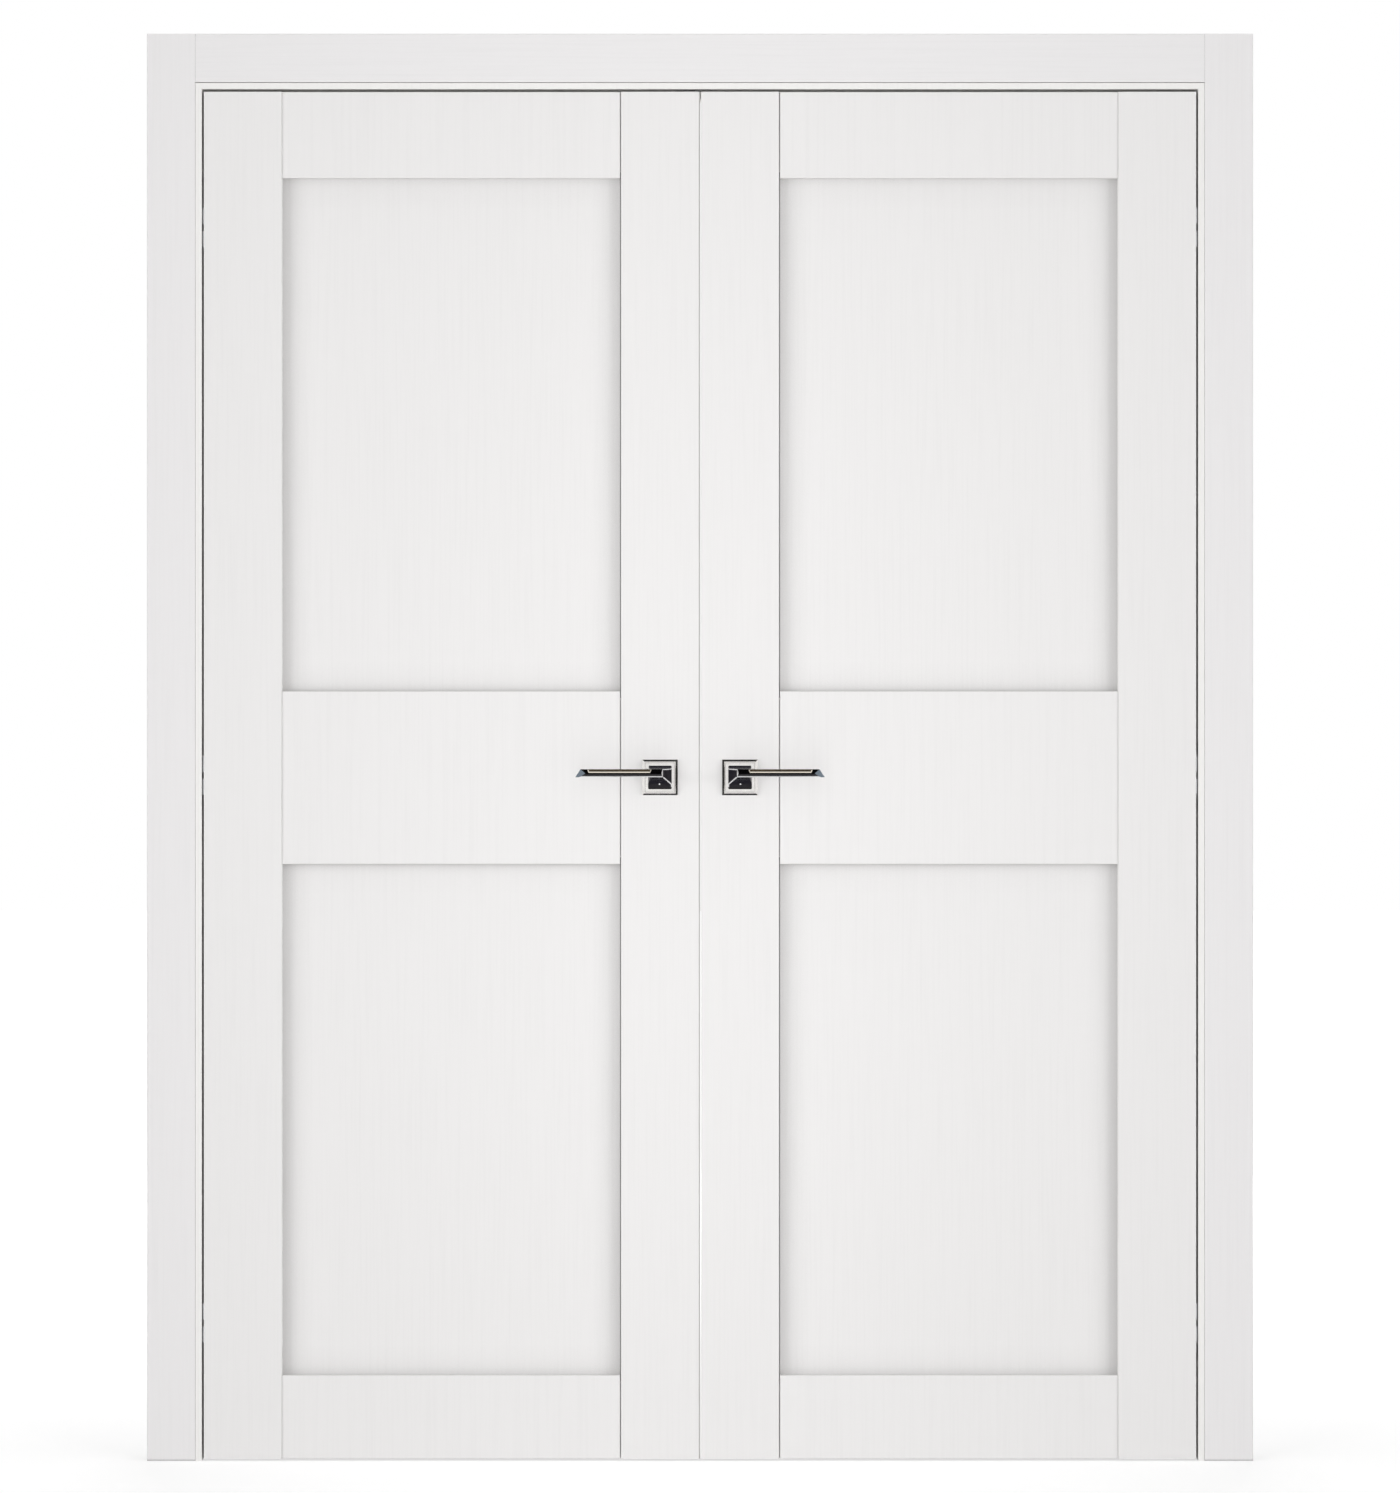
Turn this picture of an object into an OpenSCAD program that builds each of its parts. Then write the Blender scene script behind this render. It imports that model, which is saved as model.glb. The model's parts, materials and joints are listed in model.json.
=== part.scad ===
// Prehung double door: two panelled leaves on concealed hinges in a lined frame with flush casings.
// Millimetres. X runs to the right, Y into the wall, Z up. The origin is on the floor,
// at the meeting line of the two leaves, in the plane of their front faces.

/* [Leaves] */
// Width of one leaf
leaf_w = 736; // [660:1:820]
// Height of one leaf
leaf_h = 2032; // [1950:1:2150]
// Thickness of one leaf
leaf_t = 40; // [38:1:46]
// Width of the stiles
stile_w = 116; // [108:1:130]
// Height of the top rail
top_rail_h = 128; // [100:1:160]
// Height of the middle rail
mid_rail_h = 257; // [220:1:300]
// Height of the bottom rail
bottom_rail_h = 124; // [100:1:200]
// Height of the lower panel between its rails
lower_panel_h = 760; // [700:1:820]
// Step of the rails back from the faces of the stiles
rail_setback = 2; // [1:0.5:4]
// Thickness of the flat panels
panel_t = 10; // [9:1:14]
// Depth of the grooves that hold the panels and the rail tongues
groove_d = 11; // [8:1:14]
// Room left at the bottom of a groove
groove_room = 1; // [0.5:0.1:2]
// Width of the shadow line between the rails and the lock stile
shadow_w = 1.4; // [0.6:0.1:3]
// Depth of the shadow line along the panels
shadow_d = 3; // [1:0.5:4]
// Width of the tight joint between the rails and the hinge stile
joint_w = 0.3; // [0.1:0.1:0.6]
// Chamfer along the wooden edges
arris = 0.8; // [0.4:0.1:1.5]
// Diameter of the dowels
dowel_d = 8; // [6:1:9]
// Length of the dowels
dowel_l = 60; // [40:1:64]
// Distance of a dowel from the edge of its rail
dowel_edge = 28; // [24:1:40]

/* [Gaps] */
// Gap between the two leaves
meeting_gap = 3; // [2:0.5:4]
// Gap between a leaf and its jamb
side_gap = 3; // [2.5:0.5:4]
// Gap between the leaves and the head jamb
head_gap = 4; // [2:0.5:6]
// Gap between the leaves and the floor
floor_gap = 3; // [2:0.5:8]

/* [Frame] */
// Thickness of the jambs
jamb_t = 40; // [38:1:50]
// Thickness of the wall that the frame lines
wall_t = 116; // [100:1:160]
// Width of the jamb's lip beside the casing
lip_w = 9.5; // [6:0.5:14]
// Height of the stop above the face of the jamb
stop_h = 12; // [10:1:16]
// Width of the stop
stop_w = 36; // [24:1:44]
// Chamfer on the rear corner of the stop
stop_chamfer = 3; // [1:0.5:5]
// Space between the back of a leaf and the stop
stop_space = 4; // [3:0.5:6]
// Width of the slot that holds the gasket
gasket_slot_w = 3; // [2:0.5:4]
// Depth of the slot that holds the gasket
gasket_slot_d = 7; // [5:0.5:9]
// Width of the gasket's bulb
gasket_w = 8; // [6:0.5:9]
// Diameter of the holes for the frame fixings
fixing_d = 8; // [6:0.5:10]
// Diameter of the sinking that hides a fixing's head
fixing_sink_d = 18; // [14:1:20]
// Depth of the sinking that hides a fixing's head
fixing_sink_h = 6; // [4:1:10]
// Distance of the outer fixings from the ends of a leaf
fixing_outer = 116; // [106:1:132]
// Distance of the inner fixings from the ends of a leaf
fixing_inner = 606; // [300:1:800]

/* [Casings] */
// Width of the casings
casing_w = 72; // [60:1:100]
// Thickness of the casings
casing_t = 8; // [6:0.5:12]
// Chamfer on the outer edge of the casings
casing_chamfer = 1.2; // [0.5:0.1:3]
// Chamfer on the inner edge of the casings
casing_edge = 0.4; // [0.2:0.1:1]
// Gap between the head casing and the lip of the head jamb
head_reveal = 0.8; // [0.2:0.1:2]
// Thickness of the casing's tongue
tongue_w = 5; // [4:0.5:6]
// Length of the casing's tongue
tongue_d = 12; // [8:1:16]
// Distance of the tongue from the inner face of the jamb
tongue_inset = 28.5; // [28.5:0.5:30]

/* [Hinges] */
// Distance of the outer hinges from the ends of a leaf
hinge_end = 200; // [160:1:260]
// Inner radius of the hinge arms about the axis of swing
arm_r_in = 22.5; // [22:0.1:24]
// Outer radius of the hinge arms about the axis of swing
arm_r_out = 29.5; // [28:0.1:30]
// Half of the angle that an arm spans
arm_half_span = 60; // [58:0.5:60]
// Height of one arm
arm_h = 24; // [16:1:28]
// Height of the web between the two arms of a hinge
arm_web = 10; // [6:1:16]
// Wall of the hinge cups
cup_wall = 2; // [1.5:0.1:2.4]
// Thickness of the hinge cups' face plate
cup_plate_t = 3; // [2:0.5:4]
// Height of the hinge cups' face plate
cup_plate_h = 112; // [104:1:130]

/* [Handles] */
// Height of the handles above the floor
handle_z = 1016; // [950:1:1080]
// Distance of a handle from the meeting edge of its leaf
backset = 58; // [50:1:64]
// Width of the square roses
rose_w = 53; // [48:1:60]
// Width of the raised field of a rose
rose_field_w = 42.5; // [40:0.5:46]
// Thickness of a rose
rose_t = 8; // [6:0.5:11]
// Thickness of the upright rim of a rose
rose_rim_t = 2.2; // [1.5:0.1:3]
// Distance between the two bolts of a rose
rose_bolt_pitch = 38; // [36:1:38]
// Diameter of the rose bolts
rose_bolt_d = 4; // [3:0.5:5]
// Diameter of the round shank that turns in the rose
shank_d = 18; // [16:0.5:20]
// Width of the square spindle
spindle_w = 8; // [7:0.5:9]
// Length of spindle that a lever takes, from the face of the leaf
spindle_reach = 26; // [18:1:32]
// Width of the neck where it meets the rose
neck_base_w = 35; // [32:0.5:38]
// Width of the neck where it meets the bar
neck_top_w = 18; // [14:0.5:24]
// Depth of the block at the foot of the neck
neck_block_d = 12; // [8:0.5:15]
// Rise of the block's lower slope
neck_lower = 7; // [4:0.5:8]
// Drop of the block's upper slope
neck_upper = 4.5; // [2:0.5:6]
// Size of the bright corners along the neck
neck_edge = 1.2; // [0.6:0.1:1.6]
// Distance from the face of the leaf to the back of the bar
bar_stand = 44; // [38:1:52]
// Length of the bar beyond the spindle
bar_reach = 125; // [105:1:140]
// Length of the bar behind the spindle
bar_tail = 5; // [3:0.5:8]
// Height of the bar
bar_h = 11.8; // [10:0.1:14]
// Depth of the bar from back to ridge
bar_d = 14; // [11:0.5:18]
// Depth of the two sloping front facets
facet_d = 4.5; // [3:0.1:6]
// Rise of the bar's middle above the spindle
bar_rise = 6.4; // [4:0.1:8]
// Slant of the bar's tip
tip_slant = 8; // [4:0.5:12]
// Length of the sloping face at the bar's tip
tip_facet = 15; // [4:0.5:16]
// Width of the bright slope at the bar's plain end
end_edge = 2.2; // [1:0.1:3]
// Height of the bright edge under the bar
bar_edge = 1.4; // [0.8:0.1:2]
// Distance from the spindle to the start of the satin inlay
inlay_start = 12; // [8:0.5:20]
// Distance from the end of the satin inlay to the tip
inlay_end = 18; // [14:0.5:24]
// Margin of polished metal above and below the inlay
inlay_margin = 0.7; // [0.4:0.1:1.2]
// Thickness of the inlay below the face of the bar
inlay_t = 0.8; // [0.5:0.1:1.2]
// Height of the inlay above the face of the bar
inlay_proud = 0.9; // [0.5:0.1:1.2]
// Width of the slope round the inlay
inlay_edge = 1.6; // [1:0.1:2]
// Diameter of the grub screws that hold the levers
grub_d = 4; // [2.5:0.5:4]

/* [Latch] */
// Depth of the latch case behind its faceplate
case_d = 80; // [76:1:82]
// Height of the latch case
case_h = 150; // [130:1:170]
// Thickness of the latch case
case_t = 14; // [13:0.5:16]
// Wall of the latch case
case_wall = 1.5; // [1:0.1:2]
// Width of the plates in the meeting edges
edge_plate_w = 20; // [18:1:22]
// Thickness of the plates in the meeting edges
edge_plate_t = 3; // [2:0.5:4]
// Height of the latch faceplate
faceplate_h = 200; // [190:1:230]
// Height of the strike plate
strike_h = 120; // [100:1:150]
// Room behind the latch bolt in the strike's box
strike_room = 2; // [1:0.5:6]
// Rise of the latch bolt above the spindle
latch_rise = 34; // [30:1:40]
// Height of the latch bolt
latch_h = 24; // [18:1:28]
// Length of the latch bolt's head
latch_l = 28; // [22:1:30]
// Travel of the latch bolt
latch_throw = 10; // [8:0.5:12]
// Diameter of the latch hub
hub_d = 24; // [22:0.5:25]
// Diameter of the hub's journals
hub_journal_d = 15; // [14:0.5:17]

/* [Flush bolts] */
// Distance of a flush bolt's middle from the end of the leaf
bolt_centre = 110; // [100:1:140]
// Height of a flush bolt's face plate
bolt_plate_h = 150; // [140:1:170]
// Height of the channel behind the face plate
bolt_channel_h = 100; // [90:1:110]
// Depth of the channel behind the face plate
bolt_channel_d = 14; // [13:0.5:18]
// Diameter of the bolt rod
bolt_rod_d = 8; // [6:0.5:9]
// Travel of the flush bolts
bolt_throw = 15; // [10:1:20]
// Height of a bolt's slider
bolt_slider_h = 30; // [24:1:36]
// Height of a bolt's thumb tab
bolt_tab_h = 16; // [12:1:20]
// Length of the strike for the top bolt
bolt_strike_l = 60; // [50:1:80]

/* [Meeting seal] */
// Distance of the seal from the front face
seal_y = 5; // [4:0.5:7]
// Width of the seal's slot
seal_slot_w = 3; // [2:0.5:3]
// Depth of the seal's slot
seal_slot_d = 6; // [4:0.5:8]
// Height of the seal's lip in the gap
seal_lip = 1.8; // [0.5:0.1:1.8]

/* [Screws] */
// Diameter of the wood screws
screw_d = 4; // [3:0.5:4.5]
// Length of the wood screws
screw_l = 25; // [16:1:27]
// Diameter of the wood screws' heads
screw_head_d = 8; // [7:0.5:8.5]
// Distance of a screw from the end of its plate
screw_end = 10; // [9:0.5:12]
// Diameter of the corner screws
corner_screw_d = 5; // [4:0.5:6]
// Length of the corner screws
corner_screw_l = 80; // [60:1:100]
// Depth that the corner screws' heads are sunk
corner_sink = 1; // [0.5:0.5:3]

/* [Fits] */
// Room round metal that is let into wood
let_in_gap = 0.1; // [0.05:0.05:0.2]
// Room round a shaft that turns or slides in its bore
run_gap = 0.08; // [0.02:0.01:0.1]
// Room between other moving pieces
slide_gap = 0.3; // [0.25:0.05:0.5]

/* [Hidden] */
$fn = 64;

// Places across the door, for the right-hand side
meet_x = meeting_gap / 2;
hinge_edge_x = meet_x + leaf_w;
axis_x = hinge_edge_x + side_gap / 2;
jamb_x = hinge_edge_x + side_gap;
jamb_out_x = jamb_x + jamb_t;
casing_x = jamb_x + lip_w;
casing_out_x = casing_x + casing_w;
lock_x = meet_x + stile_w;
hinge_stile_x = hinge_edge_x - stile_w;
handle_x = meet_x + backset;

// Places through the wall
frame_d = wall_t + 2 * casing_t;
stop_y = leaf_t + stop_space;
mid_y = leaf_t / 2;
fixing_y = casing_t + tongue_d + groove_room + fixing_sink_d / 2;

// Heights
leaf_z0 = floor_gap;
leaf_z1 = leaf_z0 + leaf_h;
head_z = leaf_z1 + head_gap;
head_top_z = head_z + jamb_t;
casing_z = head_z + lip_w + head_reveal;
casing_top_z = casing_z + casing_w;
bottom_rail_z = leaf_z0;
lower_panel_z = bottom_rail_z + bottom_rail_h;
mid_rail_z = lower_panel_z + lower_panel_h;
upper_panel_z = mid_rail_z + mid_rail_h;
top_rail_z = leaf_z1 - top_rail_h;
upper_panel_h = top_rail_z - upper_panel_z;
hinge_z = [leaf_z0 + hinge_end, leaf_z0 + leaf_h / 2, leaf_z1 - hinge_end];
fixing_z = [
    leaf_z0 + fixing_outer, leaf_z0 + fixing_inner, leaf_z1 - fixing_inner, leaf_z1 - fixing_outer
];
latch_z = handle_z + latch_rise;
case_z = handle_z + latch_rise / 2;

// Grooves and tongues of the leaves
groove_w = panel_t + 2 * let_in_gap;
tongue_l = groove_d - groove_room;
rails = [
    [bottom_rail_z, bottom_rail_h],
    [mid_rail_z, mid_rail_h],
    [top_rail_z, top_rail_h]
];

// Hinge cups: just large enough to wrap the arms
arm_tilt = 90 - arm_half_span;
cup_y0 = arm_r_in * sin(arm_tilt) - slide_gap - cup_wall;
cup_y1 = arm_r_out + slide_gap + cup_wall;
cup_w = cup_y1 - cup_y0;
cup_d = arm_r_out * cos(arm_tilt) + slide_gap + cup_wall - side_gap / 2;
cup_h = 2 * arm_h + arm_web + 2 * slide_gap + 2 * cup_wall;
cup_screw_z = cup_plate_h / 2 - screw_end;
slot_extra = 1;

// Lever: a neck, and a bar with two sloping front facets
neck_d0 = rose_t + slide_gap;
bar_z0 = bar_rise - bar_h / 2;
bar_z1 = bar_rise + bar_h / 2;
bar_front = bar_stand + bar_d;
facet_l = sqrt(facet_d * facet_d + bar_h * bar_h / 4);
facet_tilt = atan2(facet_d, bar_h / 2);
neck_bite = 2;
neck_inset = 0.2;
neck_waist = neck_d0 + neck_block_d;
neck_z0 = neck_lower - neck_base_w / 2;
neck_z1 = neck_base_w / 2 - neck_upper;
end_slope_d = 2 * facet_d;
inlay_mitre = 2;
grub_y = spindle_reach - grub_d;
grub_proud = 0.4;
slice = 0.1;

// Latch and flush bolts
bolt_z = [leaf_z0 + bolt_centre, leaf_z1 - bolt_centre];
latch_t = case_t - 2 * case_wall - 2 * slide_gap;
strike_box_d = edge_plate_t + latch_throw + strike_room;
strike_side = 1;
hub_t = latch_t;
hub_nose = 4;
hub_nose_r = hub_d / 2 + hub_nose;
bolt_x = meet_x + edge_plate_t + bolt_channel_d / 2;
plate_margin = 3;
channel_w = edge_plate_w - 2 * plate_margin;
slider_w = channel_w - 2 * case_wall - 2 * slide_gap;
tab_margin = 1;
tab_w = slider_w - 2 * tab_margin;

// Room round the shank and the bolt rods where they only pass through
shank_room = 2;
rod_room = 0.5;

screw_sink_h = (screw_head_d - screw_d) / 2;
bulb_side = 1;
cut = 1;

white = "#eceae7";
cream = "#efede6";
seal_white = "#dcdcd8";
chrome = "#8d9096";
satin = "#b9aea0";
zinc = "#9a9ca0";
steel = "#b4b6ba";
beech = "#d9b88a";

// Helpers

// Everything is drawn for the right-hand side, and turned over for the left-hand one
module on(side) mirror([side == "left" ? 1 : 0, 0, 0]) children();

// The back of a leaf is its front turned over about the middle of its thickness
module on_face(face) {
    translate([0, face == "back" ? leaf_t : 0, 0]) mirror([0, face == "back" ? 1 : 0, 0]) children();
}

// The back of the frame is its front turned over about the middle of its depth
module on_wall(face) {
    translate([0, face == "back" ? frame_d : 0, 0]) mirror([0, face == "back" ? 1 : 0, 0]) children();
}

// A section drawn in Y and Z, run along X
module run_x(x0, x1) translate([x0, 0, 0]) rotate([90, 0, 90]) linear_extrude(x1 - x0) children();

// A section drawn in X and Y, run along Z
module run_z(z0, z1) translate([0, 0, z0]) linear_extrude(z1 - z0) children();

// A box given by two corners
module box(a, b) translate(a) cube(b - a);

// A rod along X, Y or Z from a starting point
module rod_x(p, l, d) translate(p) rotate([0, 90, 0]) cylinder(d = d, h = l);
module rod_y(p, l, d) translate(p) rotate([-90, 0, 0]) cylinder(d = d, h = l);
module rod_z(p, l, d) translate(p) cylinder(d = d, h = l);

// A rectangle with its four corners taken off
module arris_rect(a, b, c) polygon([
    [a.x + c, a.y], [b.x - c, a.y], [b.x, a.y + c], [b.x, b.y - c],
    [b.x - c, b.y], [a.x + c, b.y], [a.x, b.y - c], [a.x, a.y + c]
]);

// A long plate with round ends
module round_ended(w, h) polygon(concat(
    [for (a = [0:15:180]) [w / 2 * cos(a), (h - w) / 2 + w / 2 * sin(a)]],
    [for (a = [180:15:360]) [w / 2 * cos(a), (w - h) / 2 + w / 2 * sin(a)]]
));

// A plate with round ends let into an edge that faces the meeting line or the jamb
module edge_plate(x, t, y, z, w, h, grow = 0) {
    translate([0, y, z]) run_x(x, x + t) round_ended(w + 2 * grow, h + 2 * grow);
}

// A countersunk wood screw that starts at the origin and runs along +X
module wood_screw(grow = 0) {
    rod_x([0, 0, 0], screw_l + grow, screw_d + 2 * grow);
    rotate([0, 90, 0])
        cylinder(d1 = screw_head_d + 2 * grow, d2 = screw_d + 2 * grow, h = screw_sink_h + grow);
}

// Frame

module jamb_section() difference() {
    union() {
        arris_rect([0, casing_t], [jamb_t, frame_d - casing_t], arris);
        arris_rect([0, 0], [lip_w, frame_d], arris);
    }
    for (face = ["front", "back"])
        translate([0, face == "back" ? frame_d : 0]) mirror([0, face == "back" ? 1 : 0])
            translate([tongue_inset - let_in_gap, casing_t - cut])
                square([tongue_w + 2 * let_in_gap, tongue_d + groove_room + cut]);
}

// A stop lies flat on the jamb, and its slot holds the gasket
module stop_section() difference() {
    polygon([
        [0, stop_y], [0, stop_y + stop_w], [stop_chamfer - stop_h, stop_y + stop_w],
        [-stop_h, stop_y + stop_w - stop_chamfer], [-stop_h, stop_y + arris], [arris - stop_h, stop_y]
    ]);
    translate([-stop_h / 2 - gasket_slot_w / 2, stop_y - cut]) square([gasket_slot_w, gasket_slot_d + cut]);
}

// The mitre that parts the legs from the head
module leg_side() rotate([90, 0, 0]) translate([0, 0, -frame_d - cut]) linear_extrude(frame_d + 2 * cut)
    polygon([
        [jamb_x - stop_h - cut, -cut], [jamb_out_x + cut, -cut],
        [jamb_out_x + cut, head_top_z + cut], [jamb_x - stop_h - cut, head_z - stop_h - cut]
    ]);
module head_side() rotate([90, 0, 0]) translate([0, 0, -frame_d - cut]) linear_extrude(frame_d + 2 * cut)
    polygon([
        [stop_h + cut - jamb_x, head_z - stop_h - cut], [jamb_x - stop_h - cut, head_z - stop_h - cut],
        [jamb_out_x + cut, head_top_z + cut], [-jamb_out_x - cut, head_top_z + cut]
    ]);

module along_leg() intersection() {
    translate([jamb_x, 0, 0]) linear_extrude(head_top_z + 2 * cut) children();
    leg_side();
}
module along_head() intersection() {
    translate([0, 0, head_z]) rotate([0, -90, 0]) linear_extrude(2 * jamb_out_x + 4 * cut, center = true)
        children();
    head_side();
}

module jamb_leg(side) color(cream) on(side) difference() {
    along_leg() jamb_section();
    for (z = hinge_z) translate([axis_x, 0, z]) hinge_pocket();
    for (z = fixing_z) translate([jamb_x, fixing_y, z]) {
        rod_x([-cut, 0, 0], jamb_t + 2 * cut, fixing_d);
        rod_x([-cut, 0, 0], fixing_sink_h + cut, fixing_sink_d);
    }
    corner_screw_pair(let_in_gap);
}

module stop_leg(side) color(cream) on(side) along_leg() stop_section();
module head_stop() color(cream) along_head() stop_section();

module head_jamb() color(cream) difference() {
    along_head() jamb_section();
    for (side = ["left", "right"]) on(side) corner_screw_pair(let_in_gap);
    on("left") translate([bolt_x, mid_y, head_z]) {
        rod_z([0, 0, -cut], bolt_throw + 2 * cut, bolt_rod_d + 4 * rod_room);
        bolt_strike_plate(let_in_gap);
        bolt_strike_screws(let_in_gap);
    }
}

module corner_screw_pair(grow = 0) {
    for (y = [stop_y + stop_w / 2, frame_d - casing_t - tongue_d - stop_h])
        translate([jamb_out_x - corner_sink, y, head_z + jamb_t / 2]) rotate([0, 0, 180]) {
            rod_x([0, 0, 0], corner_screw_l + grow, corner_screw_d + 2 * grow);
            rotate([0, 90, 0]) cylinder(
                d1 = 2 * corner_screw_d + 2 * grow, d2 = corner_screw_d + 2 * grow, h = corner_screw_d / 2
            );
            if (grow > 0)
                rod_x([-corner_sink - cut, 0, 0], corner_sink + cut, 2 * corner_screw_d + 2 * grow);
        }
}

// A casing's section, from its inner to its outer edge
module casing_section() polygon([
    [casing_edge, 0], [casing_w - casing_chamfer, 0], [casing_w, casing_chamfer],
    [casing_w, casing_t], [0, casing_t], [0, casing_edge]
]);

module side_casing(side, face) color(white) on(side) on_wall(face) {
    run_z(0, casing_top_z) translate([casing_x, 0]) casing_section();
    box(
        [jamb_x + tongue_inset, casing_t - cut, 0],
        [jamb_x + tongue_inset + tongue_w, casing_t + tongue_d, casing_z]
    );
}

module head_casing(face) color(white) on_wall(face) {
    run_x(-casing_x, casing_x) translate([0, casing_z]) mirror([1, -1]) casing_section();
    box(
        [-casing_x, casing_t - cut, head_z + tongue_inset],
        [casing_x, casing_t + tongue_d, head_z + tongue_inset + tongue_w]
    );
}

// A stem in the stop's slot, and a bulb that the back of a leaf closes on
module gasket_section() translate([-stop_h / 2, 0]) {
    translate([let_in_gap - gasket_slot_w / 2, stop_y - cut])
        square([gasket_slot_w - 2 * let_in_gap, gasket_slot_d - groove_room + cut]);
    polygon([
        [-gasket_w / 2, stop_y], [-gasket_w / 2, stop_y - bulb_side], [-gasket_w / 4, leaf_t + slide_gap],
        [gasket_w / 4, leaf_t + slide_gap], [gasket_w / 2, stop_y - bulb_side], [gasket_w / 2, stop_y]
    ]);
}

module frame_gasket() color(seal_white) {
    for (side = ["left", "right"]) on(side) along_leg() gasket_section();
    along_head() gasket_section();
}

module bolt_strike_plate(grow = 0) translate([0, 0, -grow]) linear_extrude(edge_plate_t + 2 * grow)
    rotate(90) round_ended(edge_plate_w + 2 * grow, bolt_strike_l + 2 * grow);

module bolt_strike_screws(grow = 0) for (s = [-1, 1])
    translate([s * (bolt_strike_l / 2 - screw_end), 0, 0]) rotate([0, -90, 0]) wood_screw(grow);

module top_bolt_strike() color(steel) on("left") translate([bolt_x, mid_y, head_z]) difference() {
    bolt_strike_plate();
    rod_z([0, 0, -cut], edge_plate_t + 2 * cut, bolt_rod_d + 2 * rod_room);
    bolt_strike_screws(let_in_gap);
}

module frame_screws() color(steel) {
    for (side = ["left", "right"]) on(side) for (z = hinge_z) translate([axis_x, 0, z]) cup_screws();
    for (side = ["left", "right"]) on(side) corner_screw_pair();
    on("left") translate([bolt_x, mid_y, head_z]) bolt_strike_screws();
}

// Concealed hinges: drawn about the axis of swing, on the jamb's side

module hinge_body(grow = 0) {
    edge_plate(
        side_gap / 2 - (grow > 0 ? cut : 0), cup_plate_t + grow + (grow > 0 ? cut : 0),
        cup_y0 + cup_w / 2, 0, cup_w, cup_plate_h, grow
    );
    box(
        [side_gap / 2, cup_y0 - grow, -cup_h / 2 - grow],
        [side_gap / 2 + cup_d + grow, cup_y1 + grow, cup_h / 2 + grow]
    );
}

module cup_screws(grow = 0) for (s = [-1, 1])
    translate([side_gap / 2, cup_y0 + cup_w / 2, s * cup_screw_z]) wood_screw(grow);

module hinge_pocket() {
    hinge_body(let_in_gap);
    cup_screws(let_in_gap);
}

module arm_ring(from, to, grow = 0) for (s = [-1, 1])
    translate([0, 0, s * (arm_h + arm_web) / 2]) rotate(from) rotate_extrude(angle = to - from, $fn = 128)
        translate([arm_r_in - grow, -arm_h / 2 - grow])
            square([arm_r_out - arm_r_in + 2 * grow, arm_h + 2 * grow]);

module hinge_cup() difference() {
    hinge_body();
    arm_ring(arm_tilt - slot_extra, 90 + arm_tilt, slide_gap);
    cup_screws(let_in_gap);
}

module frame_hinge_cups(side) color(zinc) on(side) for (z = hinge_z) translate([axis_x, 0, z]) hinge_cup();

module leaf_hinge_cups(side) color(zinc) on(side)
    for (z = hinge_z) translate([axis_x, 0, z]) mirror([1, 0, 0]) hinge_cup();

module hinge_arms(side) color(steel) on(side)
    for (z = hinge_z) translate([axis_x, 0, z]) arm_ring(arm_tilt, 180 - arm_tilt);

// Leaves

module dowel_rods(x, grow = 0) for (rail = rails)
    for (z = [rail[0] + dowel_edge, rail[0] + rail[1] - dowel_edge])
        rod_x([x - dowel_l / 2 - grow, mid_y, z], dowel_l + 2 * grow, dowel_d + 2 * grow);

module dowels(side) color(beech) on(side) for (x = [lock_x, hinge_stile_x]) dowel_rods(x);

module stile_section(x0, x1, groove_x) difference() {
    arris_rect([x0, 0], [x1, leaf_t], arris);
    translate([groove_x, mid_y]) square([2 * groove_d, groove_w], center = true);
}

module hinge_stile(side) color(white) on(side) difference() {
    run_z(leaf_z0, leaf_z1) stile_section(hinge_stile_x, hinge_edge_x, hinge_stile_x);
    dowel_rods(hinge_stile_x, let_in_gap);
    for (z = hinge_z) translate([axis_x, 0, z]) mirror([1, 0, 0]) hinge_pocket();
}

module lock_stile(side) color(white) on(side) difference() {
    run_z(leaf_z0, leaf_z1) stile_section(meet_x, lock_x, lock_x);
    dowel_rods(lock_x, let_in_gap);
    rod_y([handle_x, -cut, handle_z], leaf_t + 2 * cut, shank_d + 2 * shank_room);
    rose_bolt_pair(let_in_gap);
    if (side == "right") latch_pocket();
    if (side == "left") passive_edge_pockets();
}

// A rail ends in tongues that share the stiles' grooves with the panels
module rail(side, z, h, groove_below, groove_above) color(white) on(side) difference() {
    union() {
        run_x(lock_x + shadow_w, hinge_stile_x - joint_w)
            arris_rect([rail_setback, z], [leaf_t - rail_setback, z + h], arris);
        box(
            [lock_x - tongue_l, mid_y - panel_t / 2, z],
            [hinge_stile_x + tongue_l, mid_y + panel_t / 2, z + h]
        );
    }
    if (groove_below) rail_groove(z);
    if (groove_above) rail_groove(z + h);
    for (x = [lock_x, hinge_stile_x]) dowel_rods(x, let_in_gap);
}

module rail_groove(z) box(
    [lock_x - stile_w, mid_y - groove_w / 2, z - groove_d],
    [hinge_stile_x + stile_w, mid_y + groove_w / 2, z + groove_d]
);

module bottom_rail(side) rail(side, bottom_rail_z, bottom_rail_h, false, true);
module middle_rail(side) rail(side, mid_rail_z, mid_rail_h, true, true);
module top_rail(side) rail(side, top_rail_z, top_rail_h, true, false);

// A panel carries the rails' shadow line on along the lock stile, on both of its faces
module panel(side, z, h) color(white) on(side) difference() {
    box(
        [lock_x - tongue_l, mid_y - panel_t / 2, z - tongue_l],
        [hinge_stile_x + tongue_l, mid_y + panel_t / 2, z + h + tongue_l]
    );
    for (face = ["front", "back"]) on_face(face) box(
        [lock_x, mid_y - panel_t / 2 - cut, z - groove_d],
        [lock_x + shadow_w, mid_y - panel_t / 2 + shadow_d, z + h + groove_d]
    );
}

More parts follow.
